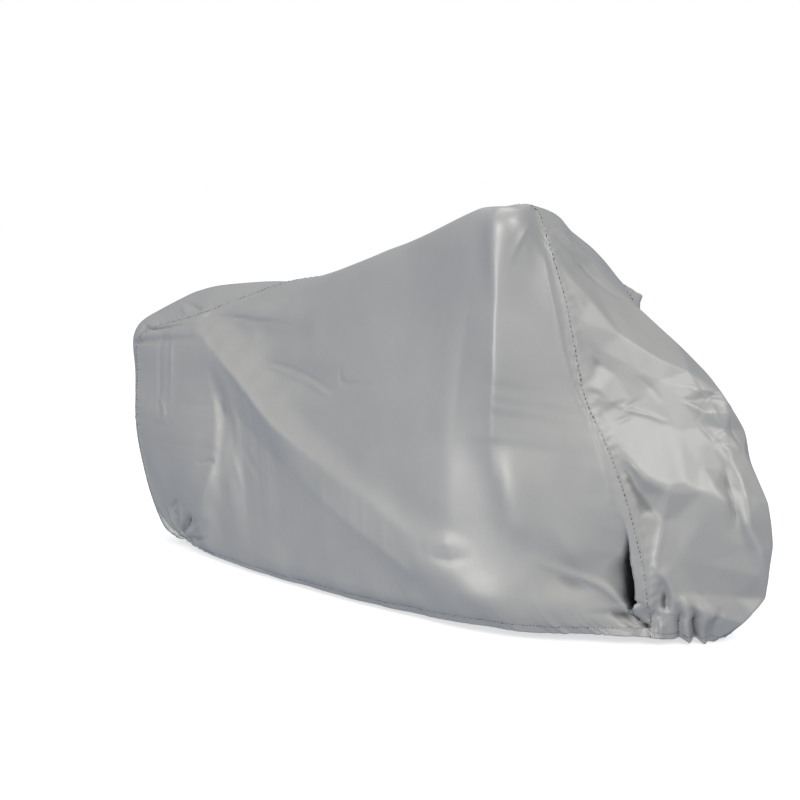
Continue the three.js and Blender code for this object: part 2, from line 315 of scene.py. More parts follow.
def crease(name, width, sharp, *path, lean=(0, 0, 0), out=None):
    """One row of a table of creases."""
    return {"name": name, "width": width / MM, "sharp": sharp, "path": np.array(path, float),
            "lean": lean, "out": out}


def told(creases):
    """Prints how many creases a table has, and its deepest one."""
    deepest = max(creases, key=lambda row: np.abs(row["path"][:, 3]).max())
    print(len(creases), "creases, the deepest is the", deepest["name"])


FRONT_EDGE = [(645, -280, 975, 0), (670, -280, 875, 3), (690, -265, 755, 3), (710, -240, 645, 3),
              (750, -225, 560, 3), (790, -220, 465, 3), (810, -210, 365, 2)]
RIGHT_CREASES = [
    crease("crest of the long ridge", 30, 0.9, (-735, -115, 730, 0), (-635, -150, 670, 3),
           (-525, -175, 600, 3), (-395, -210, 520, 3), (-290, -235, 460, 2), (-170, -265, 405, 0)),
    crease("first fall behind the flank", 22, 0.6, (-530, -170, 405, 0), (-465, -200, 295, 1.5),
           (-415, -215, 200, 0)),
    crease("second fall behind the flank", 22, 0.4, (-460, -180, 375, 0), (-400, -200, 320, -2),
           (-340, -220, 270, 0)),
    crease("pull across the flank", 11, 0.8, (-430, -155, 635, -1), (-345, -165, 620, -4),
           (-215, -195, 605, -3), (-105, -225, 580, -4), (-45, -245, 570, -1)),
    crease("roll under the pull", 14, 0.7, (-415, -165, 615, 0), (-330, -170, 605, 3), (-200, -200, 585, 3),
           (-100, -230, 565, 4), (-50, -245, 550, 0)),
    crease("fork of the pull", 14, 0.8, (-25, -240, 635, -1), (-20, -245, 600, -4), (35, -260, 595, -3),
           (150, -285, 605, 0)),
    crease("fine line before the pull", 12, 0.8, (-550, -165, 640, 0), (-425, -180, 590, -3),
           (-375, -180, 580, 0)),
    crease("line by the tail seam", 16, 0.7, (-665, -115, 740, -2), (-530, -125, 740, -4),
           (-395, -140, 735, -3), (-230, -170, 735, 0)),
    crease("edge beside the front seam", 16, 1.0, *FRONT_EDGE),
    crease("lump above the hem", 35, 0.3, (355, -335, 215, 2), (405, -335, 225, 5), (450, -330, 220, 2)),
    crease("crease under the lump", 18, 0.8, (350, -340, 185, 0), (410, -335, 180, -4),
           (465, -325, 195, 0)),
    crease("edge under the tuck", 22, 1.0, (620, -295, 215, 0), (690, -250, 180, 4), (770, -185, 145, 9),
           (820, -150, 85, 8), (870, -150, 45, 4)),
    crease("depth of the tuck", 20, 0.0, (820, -200, 345, 0), (837, -172, 250, -12), (839, -153, 185, -40),
           (840, -145, 105, -66), lean=(-0.6, 0.1, 0)),
    crease("edge of the tuck", 24, 0.8, (830, -205, 365, 1), (850, -180, 265, 9), (849, -160, 185, 22),
           (847, -150, 115, 30), (850, -150, 70, 8), lean=(-0.8, -0.2, 0)),
    crease("facet at the peak", 18, 1.0, (630, -320, 1025, 1), (620, -345, 985, 4), (605, -355, 940, 1)),
    crease("hollow before the rear edge", 32, 0.0, (-570, -155, 500, -2), (-550, -175, 405, -5),
           (-545, -190, 330, -3), (-550, -190, 270, 0)),
    crease("fill under the tail seam", 40, 0.0, (-500, -130, 705, 1), (-445, -135, 690, 4),
           (-390, -145, 680, 1)),
    crease("light fall at the rear", 18, 0.8, (-810, -120, 690, 1), (-805, -135, 595, 3),
           (-815, -145, 440, 1)),
    crease("dark fall at the rear", 20, 0.5, (-865, -110, 675, -2), (-870, -130, 495, -3),
           (-870, -135, 400, 0)),
    crease("knob at the rear", 18, 0.3, (-865, -135, 465, 3), (-840, -145, 425, 4), (-875, -135, 400, 3)),
    crease("nick in the flank", 14, 0.8, (-635, -175, 295, -3), (-570, -190, 310, -6)),
    crease("knot over the rear gather", 10, 0.8, (-765, -140, 160, -2), (-800, -135, 140, -10),
           (-815, -130, 120, -10), (-800, -128, 85, -4)),
    crease("rear gather 1", 15, 0.8, (-925, -100, 115, 0), (-875, -105, 65, -14), (-835, -100, 30, -12)),
    crease("rear gather 2", 18, 0.8, (-850, -125, 145, 0), (-830, -120, 85, 8), (-815, -115, 40, 8)),
    crease("rear gather 3", 14, 0.8, (-790, -135, 165, 0), (-795, -130, 105, -17), (-805, -115, 40, -16)),
    crease("rear gather 4", 20, 0.9, (-740, -140, 160, 0), (-760, -140, 100, 11), (-800, -115, 40, 8)),
    crease("rear gather 5", 14, 0.8, (-680, -155, 140, 0), (-735, -140, 90, -18), (-795, -115, 35, -14)),
    crease("rear gather 6", 20, 0.9, (-620, -185, 115, 0), (-710, -150, 70, 10), (-795, -115, 30, 6)),
    crease("rear gather 7", 16, 0.8, (-600, -185, 70, 0), (-690, -150, 45, -13), (-785, -115, 25, -10)),
]
told(RIGHT_CREASES)

# %% [markdown]
# The far side is hidden in the photograph. It gets the same kinds of crease, only fewer.

# %% Creases of the left panel
LEFT_CREASES = [
    crease("crest of the long ridge", 70, 0.7, (-700, 140, 710, 0), (-330, 235, 410, 7), (65, 310, 250, 6),
           (485, 320, 100, 0)),
    crease("fall from the corner", 36, 0.8, (535, 365, 780, 4), (550, 345, 550, 6), (585, 330, 300, 0)),
    crease("pull across the flank", 30, 0.7, (-500, 180, 630, 0), (-300, 230, 600, -4), (-50, 290, 580, 0)),
    crease("edge of the tuck", 32, 0.9, (825, 215, 360, 2), (840, 190, 250, 9), (845, 175, 120, 6)),
    crease("depth of the tuck", 40, 0.3, (775, 225, 330, 0), (795, 205, 220, -2), (815, 185, 100, -4)),
    crease("fill beside the tuck", 45, 0.0, (768, 220, 310, 3), (774, 205, 260, 12), (777, 190, 185, 16),
           (783, 180, 115, 10)),
    crease("light fall at the rear", 28, 0.6, (-810, 140, 680, 1), (-810, 155, 560, 5),
           (-820, 155, 400, 0)),
    crease("gather upwards", 24, 0.7, (-800, 130, 40, -7), (-770, 145, 100, -8), (-755, 150, 160, 0)),
    crease("gather forwards", 24, 0.7, (-790, 130, 45, -6), (-700, 165, 80, -7), (-620, 190, 110, 0)),
]
told(LEFT_CREASES)

# %% [markdown]
# The centre panel has most of its creases on the front: gathers at the lower corner, a ridge from
# the peak to the brow, two star-shaped crumples, and puckers where the seam pulls.

# %% Creases of the centre panel
CENTRE_CREASES = [
    crease("pleat under the light fall", 20, 0.6, (915, -135, 170, -2), (920, -125, 120, -9),
           (910, -125, 60, -8)),
    crease("front gather 1", 16, 0.8, (900, -145, 125, -3), (898, -140, 80, -13), (895, -135, 30, -12)),
    crease("front gather 2", 18, 0.9, (920, -125, 110, 3), (912, -128, 75, 8), (905, -120, 20, 7)),
    crease("front gather 3", 16, 0.8, (940, -110, 115, 0), (945, -100, 65, -19), (940, -85, 10, -15)),
    crease("front gather 4", 18, 0.8, (955, -100, 120, 2), (960, -90, 70, 8), (955, -70, 10, 9)),
    crease("front gather 5", 18, 0.7, (970, -90, 115, 0), (978, -80, 65, -21), (970, -55, 10, -15)),
    crease("front gather 6", 20, 0.7, (995, -70, 105, 0), (995, -60, 60, 6), (980, -35, 5, 8)),
    crease("front gather 7", 18, 0.8, (1025, -40, 100, 0), (1015, -40, 60, -10), (995, -25, 5, -4)),
    crease("ridge from peak to brow", 22, 0.9, (635, -235, 1015, 3), (650, -185, 985, 7),
           (675, -115, 935, 9), (710, -30, 875, 9), (735, 40, 830, 4)),
    crease("line before that ridge", 18, 0.8, (645, -220, 995, -3), (685, -155, 930, -6),
           (735, -100, 870, -6), (765, -30, 815, -2)),
    crease("line behind that ridge", 16, 0.6, (600, -175, 1045, -2), (635, -110, 980, -3),
           (640, 60, 900, -3)),
    crease("light fall", 14, 0.9, (920, -135, 395, 3), (905, -130, 315, 5), (905, -145, 255, 5),
           (900, -150, 205, 5), (915, -135, 180, 5), (930, -120, 140, 6), (925, -115, 85, 3)),
    crease("left side of the flap", 12, 0.9, (900, -150, 205, 3), (895, -150, 175, 4), (890, -150, 145, 2)),
    crease("hollow of the flap", 14, 0.6, (905, -145, 175, -1), (918, -130, 140, -4), (918, -122, 95, -6)),
    crease("first fine line", 10, 0.8, (830, -120, 655, -1), (855, -110, 635, -3), (875, -100, 605, -1)),
    crease("second fine line", 10, 0.8, (915, -25, 675, -1), (945, -25, 630, -3), (955, -25, 615, -2)),
    crease("lip of the bright facet", 12, 0.9, (835, -150, 580, 1), (865, -130, 570, 4),
           (895, -110, 555, 2)),
    crease("first star, ridge", 12, 0.9, (785, -175, 600, 1), (825, -150, 580, 4), (855, -130, 570, 1)),
    crease("first star, crease", 10, 0.8, (840, -130, 615, -1), (830, -140, 600, -4), (815, -160, 585, -3)),
    crease("first star, low crease", 10, 0.8, (825, -155, 570, -2), (815, -165, 560, -4),
           (795, -180, 550, -1)),
    crease("second star, ridge", 12, 0.9, (925, -45, 635, 1), (965, -15, 610, 4), (1000, 30, 585, 2)),
    crease("second star, crease", 10, 0.8, (970, 5, 620, -2), (960, -30, 595, -5), (955, -55, 555, -2)),
    crease("second star, front ridge", 12, 0.9, (970, -15, 600, 2), (980, -20, 580, 4), (995, -15, 545, 4),
           (1015, -10, 510, 1)),
    crease("second star, front crease", 12, 0.8, (1015, 10, 555, -2), (1030, 15, 515, -5),
           (1045, 15, 480, -2)),
    crease("second star, low crease", 12, 0.8, (960, -50, 550, -2), (985, -40, 520, -5),
           (1015, -25, 480, -4), (1025, -25, 455, -1)),
    crease("pucker at the seam 1", 11, 0.8, (690, -235, 855, -1), (700, -220, 845, -3),
           (715, -210, 820, 0)),
    crease("pucker at the seam 2", 11, 0.8, (700, -230, 805, -1), (710, -220, 795, -3),
           (730, -205, 765, 0)),
    crease("pucker at the seam 3", 11, 0.8, (705, -225, 755, -1), (720, -215, 745, -3),
           (735, -200, 720, 0)),
    crease("pucker at the seam 4", 11, 0.8, (735, -210, 625, -1), (755, -200, 620, -4),
           (775, -185, 605, -1)),
    crease("crease before the right fall", 14, 0.7, (1020, -35, 440, -2), (1035, -40, 400, -6),
           (1050, -45, 360, -6), (1060, -40, 305, -1)),
    crease("right fall", 24, 0.9, (1035, -10, 440, 1), (1060, -20, 390, 4), (1075, -25, 320, 6),
           (1095, 0, 240, 5), (1105, 25, 165, 1)),
    crease("tail fold", 15, 0.7, (-835, -40, 770, -2), (-725, -90, 755, -9), (-690, -105, 750, -4)),
    crease("tail roll", 22, 0.7, (-825, -60, 755, 2), (-780, -90, 745, 6), (-760, -105, 735, 2)),
]
told(CENTRE_CREASES)

# %% [markdown]
# A path is drawn as a spline in short steps, and each step is laid onto the cloth. Every point of
# the cloth near the line then moves outwards by the height at the nearest step, and less the
# farther away it lies.

# %% Moves of the creases
CREASE_STEP = 0.003
LEAST_STEPS = 8


def crease_moves(grid, creases):
    """Sum of all creases at each point of a grid, as moves in metres."""
    normal = outward(grid).reshape(-1, 3)
    points = grid.reshape(-1, 3)
    move = np.zeros_like(points)
    for row in creases:
        out = normal if row["out"] is None else np.broadcast_to(row["out"], points.shape)
        path, heights = row["path"][:, :3] / MM, row["path"][:, 3]
        length = np.linalg.norm(np.diff(path, axis=0), axis=1).sum()
        at = np.linspace(0, len(path) - 1, max(LEAST_STEPS, int(length / CREASE_STEP)))
        line = spline(len(path), at) @ path
        depth = np.interp(at, np.arange(len(path)), heights) / MM
        room = 2 * row["width"]
        near = np.flatnonzero(((points > line.min(0) - room) & (points < line.max(0) + room)).all(1))
        if not len(near):
            continue
        foot = near[np.linalg.norm(points[near] - line[:, None], axis=2).argmin(1)]
        lift = ((points[foot] - line) * out[foot]).sum(1, keepdims=True)
        away = np.linalg.norm(points[near] - (line + lift * out[foot])[:, None], axis=2)
        t = np.clip(away.min(0) / row["width"], 0, 1)
        shape = (1 - row["sharp"]) * (1 - t * t) ** 2 + row["sharp"] * (1 - t) ** 2
        move[near] += (depth[away.argmin(0)] * shape)[:, None] * (out[near] + row["lean"])
    return move.reshape(grid.shape)


# %% [markdown]
# A few creases run across a seam. Both panels must then move alike, so these rows also say which
# way is out.

# %% Creases across the seams
CORNER_OUT = (0.5, -0.86, 0)
SHARED_CREASES = [
    crease("band along the front seam", 55, 0.3, (643, -252, 1000, 0), (660, -250, 950, 6),
           (687, -239, 850, 10), (714, -223, 700, 11), (738, -213, 600, 11), (787, -202, 500, 9),
           (827, -190, 400, 6), (853, -181, 320, 0), out=(0.72, -0.69, 0)),
    crease("pocket at the tail corner", 13, 0.6, (-995, -65, 685, -12), (-950, -90, 685, -21),
           (-910, -100, 680, -16), (-870, -112, 680, 0), out=(-0.45, -0.75, 0.48)),
    crease("pocket behind the tail corner", 13, 0.6, (-1025, -80, 630, -10), (-985, -95, 645, -20),
           (-955, -100, 665, -10), out=(-0.55, -0.75, 0.36)),
    crease("gather under the tuck", 12, 0.8, (825, -150, 95, -5), (850, -150, 70, -10), (877, -150, 40, -8),
           out=CORNER_OUT),
    crease("gather from the flap", 11, 0.8, (905, -138, 90, -4), (890, -145, 70, -10), (878, -150, 45, -8),
           out=CORNER_OUT),
    crease("gather along the seam", 10, 0.8, (868, -150, 105, -3), (874, -150, 75, -10),
           (877, -150, 45, -8), out=CORNER_OUT),
    crease("gather across the tuck", 10, 0.8, (835, -145, 100, -3), (850, -145, 105, -7),
           (870, -150, 105, -3), out=CORNER_OUT),
]
told(SHARED_CREASES)

right_grid, left_grid, centre_grid = (grid + crease_moves(grid, SHARED_CREASES)
                                      for grid in (right_grid, left_grid, centre_grid))

# %% [markdown]
# ## Crumples and gathers
# Coated cloth that has been packed small keeps a net of flat facets with pressed edges. A bent net
# of triangles with random heights at its knots, and flat in between, looks just like it. The hem
# draws the cloth into gathers at both ends, which fade out within a hand's width, and the sewing
# draws it into short puckers along the seams.

# %% Facets and waves
BEND, BEND_LENGTH = 0.35, 3.1


def facets(u, v, seed, size):
    """A net of three-cornered facets about as wide as size, from -1 to 1."""
    random = np.random.default_rng(seed)
    bend = BEND * size
    turn = 2 * math.pi / (BEND_LENGTH * size)
    a = u + bend * np.sin(turn * v + random.uniform(*PHASE)) + bend * np.sin(0.6 * turn * (u + v))
    b = v + bend * np.sin(turn * u + random.uniform(*PHASE)) + bend * np.sin(0.7 * turn * (u - v))
    s = (a + b / math.sqrt(3)) / size
    t = 2 * b / math.sqrt(3) / size
    i, j = np.floor(s).astype(int), np.floor(t).astype(int)
    fs, ft = s - i, t - j
    i, j = i - i.min(), j - j.min()
    high = random.uniform(-1, 1, (i.max() + 2, j.max() + 2))
    near = high[i, j] * (1 - fs - ft) + high[i + 1, j] * fs + high[i, j + 1] * ft
    far = high[i + 1, j + 1] * (fs + ft - 1) + high[i, j + 1] * (1 - fs) + high[i + 1, j] * (1 - ft)
    return np.where(fs + ft < 1, near, far)


def waves(s, seed, length, count=4):
    """Uneven waves along a line, from about -1 to 1."""
    random = np.random.default_rng(seed)
    total = np.zeros_like(s)
    for _ in range(count):
        total += np.sin(2 * math.pi * s / (length * random.uniform(0.65, 1.6)) + random.uniform(*PHASE))
    return total / math.sqrt(count)


# %% Puckers and pleats
PUCKER_HEIGHT, PUCKER_LENGTH, PUCKER_REACH = 0.0012, 0.026, 0.009
PATCH_LENGTH = 0.35
SLANT, SLANT_LENGTH = 0.15, 0.3
ROUNDNESS = 0.7


def seam_pucker(along, away, seed):
    """Short wrinkles square to a seam, a few millimetres from it and stronger in some places."""
    patch = 0.3 + 0.7 * smooth(waves(along, seed + 90, PATCH_LENGTH), -0.2, 0.8)
    near = away / PUCKER_REACH
    return PUCKER_HEIGHT * patch * waves(along, seed, PUCKER_LENGTH) * near * np.exp(1 - near)


def pleats(along, away, seed, pitch, depth, reach):
    """Puffs with sharp grooves between them, which run up from a hem and end unevenly."""
    bent = along + BEND * pitch * waves(along, seed, BEND_LENGTH * pitch)
    bent = bent + SLANT * away * waves(along, seed + 1, SLANT_LENGTH)
    puff = np.abs(np.sin(math.pi * bent / pitch)) ** ROUNDNESS - ROUNDNESS
    uneven = 1 + 0.45 * waves(along, seed + 2, 2.3 * pitch)
    return depth * np.clip(uneven, 0.2, 2) * puff * np.exp(-away / (reach * np.clip(uneven, 0.4, 2)))


# %% [markdown]
# ## Planes of the front
# The front of the centre panel is the most crumpled place. Its creases are pressed sharp and the
# cloth between them is flat. So its table holds lines of knots, each with its place and a height
# in millimetres. The knots are joined to triangles, and the cloth is pulled flat across each
# triangle. On the hidden far half a few knots with seeded random heights fill in, and the folds
# are softer.

# %% Fold lines of the front
FRONT_FOLDS = {
    "edge of the nose": [
        (800, -195, 495, 2), (825, -185, 475, 8), (850, -175, 440, 13), (870, -165, 425, 14),
        (920, -135, 405, 13), (950, -115, 410, 12), (985, -90, 390, 9), (1030, -60, 370, 8)],
    "top of the bright facet": [
        (775, -205, 530, 0), (795, -180, 560, -2), (820, -160, 575, -3), (845, -140, 575, -3),
        (890, -110, 555, -3), (925, -90, 530, -2), (965, -65, 495, 0)],
    "end of the bright facet": [(975, -70, 450, 4), (1005, -70, 405, 9)],
    "light fall": [(920, -135, 390, 13), (905, -130, 315, 10), (905, -145, 255, 6), (900, -150, 205, 6)],
    "hollow by the seam": [(838, -180, 435, -7), (868, -168, 380, -10), (888, -153, 340, -5)],
    "strip by the seam": [(865, -170, 330, -4), (885, -160, 270, -4), (890, -160, 220, 0)],
    "bend of the low facet": [(930, -110, 325, 10), (980, -80, 310, 20), (1030, -55, 290, 13)],
    "middle of the low facet": [(945, -120, 220, -4), (1000, -75, 210, -3)],
    "foot of the low facet": [(985, -80, 130, -17), (1055, -30, 120, -15)],
    "left side of the flap": [(900, -150, 200, 6), (890, -150, 145, 4)],
    "right side of the flap": [
        (902, -148, 200, 6), (915, -135, 180, 7), (930, -120, 140, 7), (925, -115, 85, 4)],
    "hollow of the flap": [(905, -140, 145, -4), (915, -125, 105, -7)],
    "low corner": [(965, -95, 105, 4), (1025, -35, 75, 3), (965, -90, 70, -3)],
    "foot of the right fall": [
        (1020, -35, 440, -5), (1030, -40, 410, -7), (1050, -45, 370, -7), (1060, -40, 305, -3),
        (1075, -25, 250, -2), (1100, 0, 185, 0)],
    "crest of the right fall": [
        (1030, -15, 450, 7), (1055, -20, 405, 10), (1065, -25, 375, 12), (1075, -30, 320, 13),
        (1095, 0, 240, 12), (1105, 25, 165, 6)],
    "edge beyond the right fall": [(1067, -22, 370, 9), (1090, 0, 360, 9), (1100, 30, 355, 7)],
    "outline on the right": [
        (1105, 35, 315, 7), (1110, 40, 250, 7), (1110, 30, 180, 6), (1100, 30, 120, 5), (1085, 5, 85, 5),
        (1065, 0, 60, 4), (1030, -10, 30, 2)],
    "second star": [(945, -25, 630, 6), (965, -15, 615, -6), (985, 15, 610, 5)],
    "second star, under": [(940, -45, 600, -5), (965, -35, 575, 6), (975, -35, 545, -6)],
    "second star, front": [(1000, 10, 570, 6), (1000, 0, 530, -5), (1015, -10, 490, 6)],
    "under the star": [(985, -35, 510, -2), (1045, 20, 480, -3)],
    "foot of the dark band": [
        (675, -240, 925, 2), (725, -185, 845, 5), (785, -140, 760, 6), (860, -80, 700, 6),
        (920, -30, 670, 4)],
    "dark band": [(690, -195, 920, -6), (745, -145, 845, -9), (810, -90, 770, -8), (870, -40, 720, -3)],
    "crease by the seam": [
        (710, -220, 800, 0), (725, -210, 745, -3), (755, -185, 695, -7), (780, -165, 670, -3)],
    "light facet over the star": [(755, -180, 725, 3), (795, -145, 695, 5), (825, -125, 670, 6)],
    "under that facet": [(805, -145, 650, -1), (845, -120, 630, -1)],
    "first star": [(735, -210, 640, 2), (760, -190, 625, 7), (785, -175, 600, 4)],
    "first star, under": [(775, -195, 580, -4), (815, -150, 605, -5)],
    "over the bright facet": [(870, -90, 650, 1), (875, -100, 600, 0), (915, -70, 605, 1)],
}

# %% Flat triangles between knots
LEAST_AREA = 1e-9
SAME_KNOT = 1e-4


def folded(u, w, knots, edges, corners):
    """Points at (u, w) on flat triangles between knots, whose places are the corners."""
    flat, _, faces, origin, _, _ = delaunay_2d_cdt([Vector(k) for k in knots], edges, [], 0, SAME_KNOT)
    places = [corners[ids[0]] if ids else None for ids in origin]
    out = np.full((*u.shape, 3), np.nan)
    for a, b, c in faces:
        (au, aw), (bu, bw), (cu, cw) = flat[a], flat[b], flat[c]
        area = (bu - au) * (cw - aw) - (cu - au) * (bw - aw)
        if abs(area) < LEAST_AREA or any(places[i] is None for i in (a, b, c)):
            continue
        s = ((u - au) * (cw - aw) - (w - aw) * (cu - au)) / area
        t = ((w - aw) * (bu - au) - (u - au) * (bw - aw)) / area
        inside = (s >= 0) & (t >= 0) & (s + t <= 1)
        s, t = s[inside][:, None], t[inside][:, None]
        out[inside] = places[a] * (1 - s - t) + places[b] * s + places[c] * t
    return out


def softened(values, rounds=1):
    """Values averaged with their neighbours, as cloth can't bend in no length at all."""
    for axis in (0, 1) * rounds:
        size = values.shape[axis]
        before = np.take(values, np.maximum(np.arange(size) - 1, 0), axis)
        after = np.take(values, np.minimum(np.arange(size) + 1, size - 1), axis)
        values = (before + 2 * values + after) / 4
    return values


# %% Pulling the front flat
FILL_STEP, FILL_CLEAR = 0.09, 0.07
SEEN_HEIGHT, HIDDEN_HEIGHT = 0.001, 0.003
HIDDEN_FROM = (0.45, 0.6)
HIDDEN_ROUNDS = 24


def nearest(grid, point):
    """Row and column of the grid's point nearest to a point in millimetres."""
    away = ((grid - np.array(point) / MM) ** 2).sum(2)
    return np.unravel_index(away.argmin(), away.shape)


def front_planes(grid, u, w, seed):
    """Moves that pull the front flat between its fold lines, its edges and a few random knots."""
    random = np.random.default_rng(seed)
    normal = outward(grid)
    knots, edges, corners = [], [], []

    def add(row, column, height):
        knots.append((u[row, column], w[row, column]))
        corners.append(grid[row, column] + height * normal[row, column])

    for path in FRONT_FOLDS.values():
        edges += [(len(knots) + i, len(knots) + i + 1) for i in range(len(path) - 1)]
        for *point, height in path:
            add(*nearest(grid, point), height / MM)
    given = np.array(knots)
    levels = np.arange(0, w.max() + FILL_STEP, FILL_STEP)
    for number, row in enumerate(np.abs(w[:, :1] - levels).argmin(0)):
        width = u[row, -1]
        for across in np.linspace(0, width, 2 + int(width / FILL_STEP)):
            column = np.abs(u[row] - across).argmin()
            inside = 0 < across < width and 0 < number < len(levels) - 1
            if inside and np.linalg.norm(given - (across, w[row, 0]), axis=1).min() < FILL_CLEAR:
                continue
            height = SEEN_HEIGHT + HIDDEN_HEIGHT * smooth(across / width, *HIDDEN_FROM)
            add(row, column, inside * random.uniform(-1, 1) * height)
    print("front facets from", len(given), "given and", len(knots) - len(given), "other knots")
    flat = folded(u, w, knots, edges, corners)
    move = softened(np.where(np.isnan(flat), grid, flat)) - grid
    hidden = smooth(u / u[:, -1:], *HIDDEN_FROM)[..., None]
    return (1 - hidden) * move + hidden * softened(move, HIDDEN_ROUNDS)


# %% [markdown]
# ## Planes of the near side
# Between its main edges the near side hangs in broad planes, because its own weight pulls the cloth
# straight from one edge to the next. Each row of the table names a plane, says whether it is straight
# across or upwards, over how many grid lines it fades out, and between which two lines it lies, in
# millimetres. None stands for the panel's own edge. A line can lift the cloth a little, which makes
# the edge crisp.

# %% Planes of the right panel
REAR_EDGE = [(-735, -115, 730, 4), (-660, -145, 650, 8), (-625, -150, 570, 8), (-600, -155, 490, 7),
             (-570, -170, 420, 4), (-555, -190, 345, 5), (-575, -195, 265, 9), (-605, -190, 195, 8),
             (-620, -185, 140, 6), (-630, -180, 75, 0)]
FALL = [(580, -370, 1020, 2), (575, -365, 920, 4), (570, -360, 800, 5), (565, -355, 680, 5),
        (550, -345, 555, 4), (540, -330, 450, 2), (530, -330, 340, 0)]
UNDER_CREST = [(-580, -165, 580, 1), (-470, -175, 450, 2), (-390, -195, 410, 3), (-290, -220, 360, 5),
               (-180, -255, 330, 6), (-85, -280, 290, 7), (0, -295, 250, 7), (110, -315, 205, 7),
               (215, -325, 160, 6), (320, -330, 120, 4)]
CREST = [(-635, -150, 670, 1), (-525, -175, 600, 2), (-395, -210, 520, 2), (-290, -235, 460, 2),
         (-170, -265, 405, 1), (-15, -295, 345, 0), (125, -315, 300, 0), (260, -330, 240, 0),
         (390, -340, 190, 0)]


def level(path):
    """The same line with no lift."""
    return [(*point[:3], 0) for point in path]


BEHIND_FALL = [(505, -350, 990), (485, -340, 895), (460, -335, 770), (440, -340, 620), (420, -340, 465),
               (410, -335, 310)]
BESIDE_TUCK = [(705, -260, 450), (715, -255, 360), (720, -245, 260), (725, -235, 185), (735, -222, 120),
               (750, -215, 60), (755, -210, 15)]
IN_TUCK = [(790, -205, 450), (820, -190, 360), (836, -179, 260), (838, -158, 185), (840, -147, 120),
           (845, -148, 60), (850, -148, 15)]
LOW_LINE = [(-535, -190, 135), (-440, -210, 75), (-315, -240, 55), (-155, -265, 65), (15, -290, 55),
            (165, -305, 55), (310, -315, 55)]
RIGHT_PLANES = [
    ("rear", True, 12, None, REAR_EDGE),
    ("behind the fall", True, 26, level(BEHIND_FALL), FALL),
    ("before the fall", True, 26, level(FALL), level(FRONT_EDGE) + [(815, -200, 320, 0)]),
    ("slope into the tuck", True, 14, level(BESIDE_TUCK), level(IN_TUCK)),
    ("shade under the crest", False, 16, UNDER_CREST, CREST),
    ("low flank", False, 16, level(LOW_LINE), level(UNDER_CREST)),
]

# %% Cloth pulled straight
LIFT_FADE = 0.05
LEAST_LENGTH = 1e-6
STRAIGHT_ROUNDS = 2


def crossings(lines, path):
    """Where each line of a grid meets a path, the path's lift there, and the first and last line."""
    every = np.arange(len(lines))
    if path is None:
        return np.zeros_like(every), np.zeros(len(lines)), (0, len(lines) - 1)
    met = sorted((*nearest(lines, point), lift / MM) for *point, lift in path)
    rows, columns, lifts = np.array(met).T
    stop = np.interp(every, rows, columns).round().astype(int)
    return stop, np.interp(every, rows, lifts), (rows[0], rows[-1])


def straightened(grid, across, fade, first_path, second_path):
    """A grid with the cloth pulled straight between two lines, which can stand out a little."""
    lines = grid if across else grid.swapaxes(0, 1)
    normal, along = outward(lines), run(lines, 1)
    first, first_lift, first_range = crossings(lines, first_path)
    second, second_lift, second_range = crossings(lines, second_path)
    move = np.zeros_like(lines)
    for row, (a, b) in enumerate(zip(first, second)):
        place = along[row][:, None]
        start, stop = along[row, a], along[row, b]
        lift_a, lift_b = first_lift[row] * normal[row, a], second_lift[row] * normal[row, b]
        share = np.clip((place - start) / max(stop - start, LEAST_LENGTH), 0, 1)
        straight = (1 - share) * (lines[row, a] + lift_a) + share * (lines[row, b] + lift_b) - lines[row]
        before = np.exp(-np.maximum(start - place, 0) / LIFT_FADE) * lift_a
        after = np.exp(-np.maximum(place - stop, 0) / LIFT_FADE) * lift_b
        move[row] = np.where(place < start, before, np.where(place > stop, after, straight))
    every = np.arange(len(lines))
    low, high = max(first_range[0], second_range[0]), min(first_range[1], second_range[1])
    weight = smooth(every, low, low + fade) * (1 - smooth(every, high - fade, high))
    pulled = lines + weight[:, None, None] * softened(move, STRAIGHT_ROUNDS)
    return pulled if across else pulled.swapaxes(0, 1)


pulled_grid = right_grid
for name, *plane in RIGHT_PLANES:
    before = pulled_grid
    pulled_grid = straightened(before, *plane)
    print(name, "is pulled by up to", (MM * np.abs(pulled_grid - before).max()).round(1), "mm")

# %% [markdown]
# ## All moves together
# Everything is added up for each panel. Near a seam all but the puckers fades out, because both
# panels have to meet there. The gathers grow towards the two ends of the cover.

# %% Moves of the side panels
ENDS = (0.55, 0.85)
SIDE_PITCH, SIDE_REACH = 0.045, 0.04
SIDE_DEPTH, END_DEPTH = 0.0010, 0.0065
HEM_WAVE, HEM_WAVE_LENGTH, HEM_WAVE_REACH = 0.0012, 0.16, 0.10
SIDE_FACET, SIDE_CRUMPLE, END_CRUMPLE = 0.17, 0.0008, 0.0022
SWELL, SWELL_LENGTH, SWELL_SLANT = 0.0020, 0.42, 0.35
SIDE_HELD = 0.022


def side_moves(grid, creases, seed):
    """All creases, crumples, gathers and puckers of a side panel."""
    u, v = run(grid, 1), run(grid, 0)
    front = u[:, -1:] - u
    top = v[-1:] - v
    x = grid[..., X]
    ends = np.maximum(smooth(x, *ENDS), smooth(-x, *ENDS))
    gather = pleats(u, v, seed, SIDE_PITCH, SIDE_DEPTH + END_DEPTH * ends, SIDE_REACH)
    gather += HEM_WAVE * waves(u, seed + 1, HEM_WAVE_LENGTH) * np.exp(-v / HEM_WAVE_REACH)
    crumple = softened((SIDE_CRUMPLE + END_CRUMPLE * ends) * facets(u, v, seed + 2, SIDE_FACET))
    crumple += SWELL * waves(u + SWELL_SLANT * v, seed + 3, SWELL_LENGTH)
    held = smooth(np.minimum(np.minimum(u, front), top), 0, SIDE_HELD)
    puckers = seam_pucker(v, u, seed + 4) + seam_pucker(v, front, seed + 5) + seam_pucker(u, top, seed + 6)
    normal = outward(grid)
    creased = crease_moves(grid, creases) + (gather + crumple)[..., None] * normal
    return held[..., None] * creased + puckers[..., None] * normal


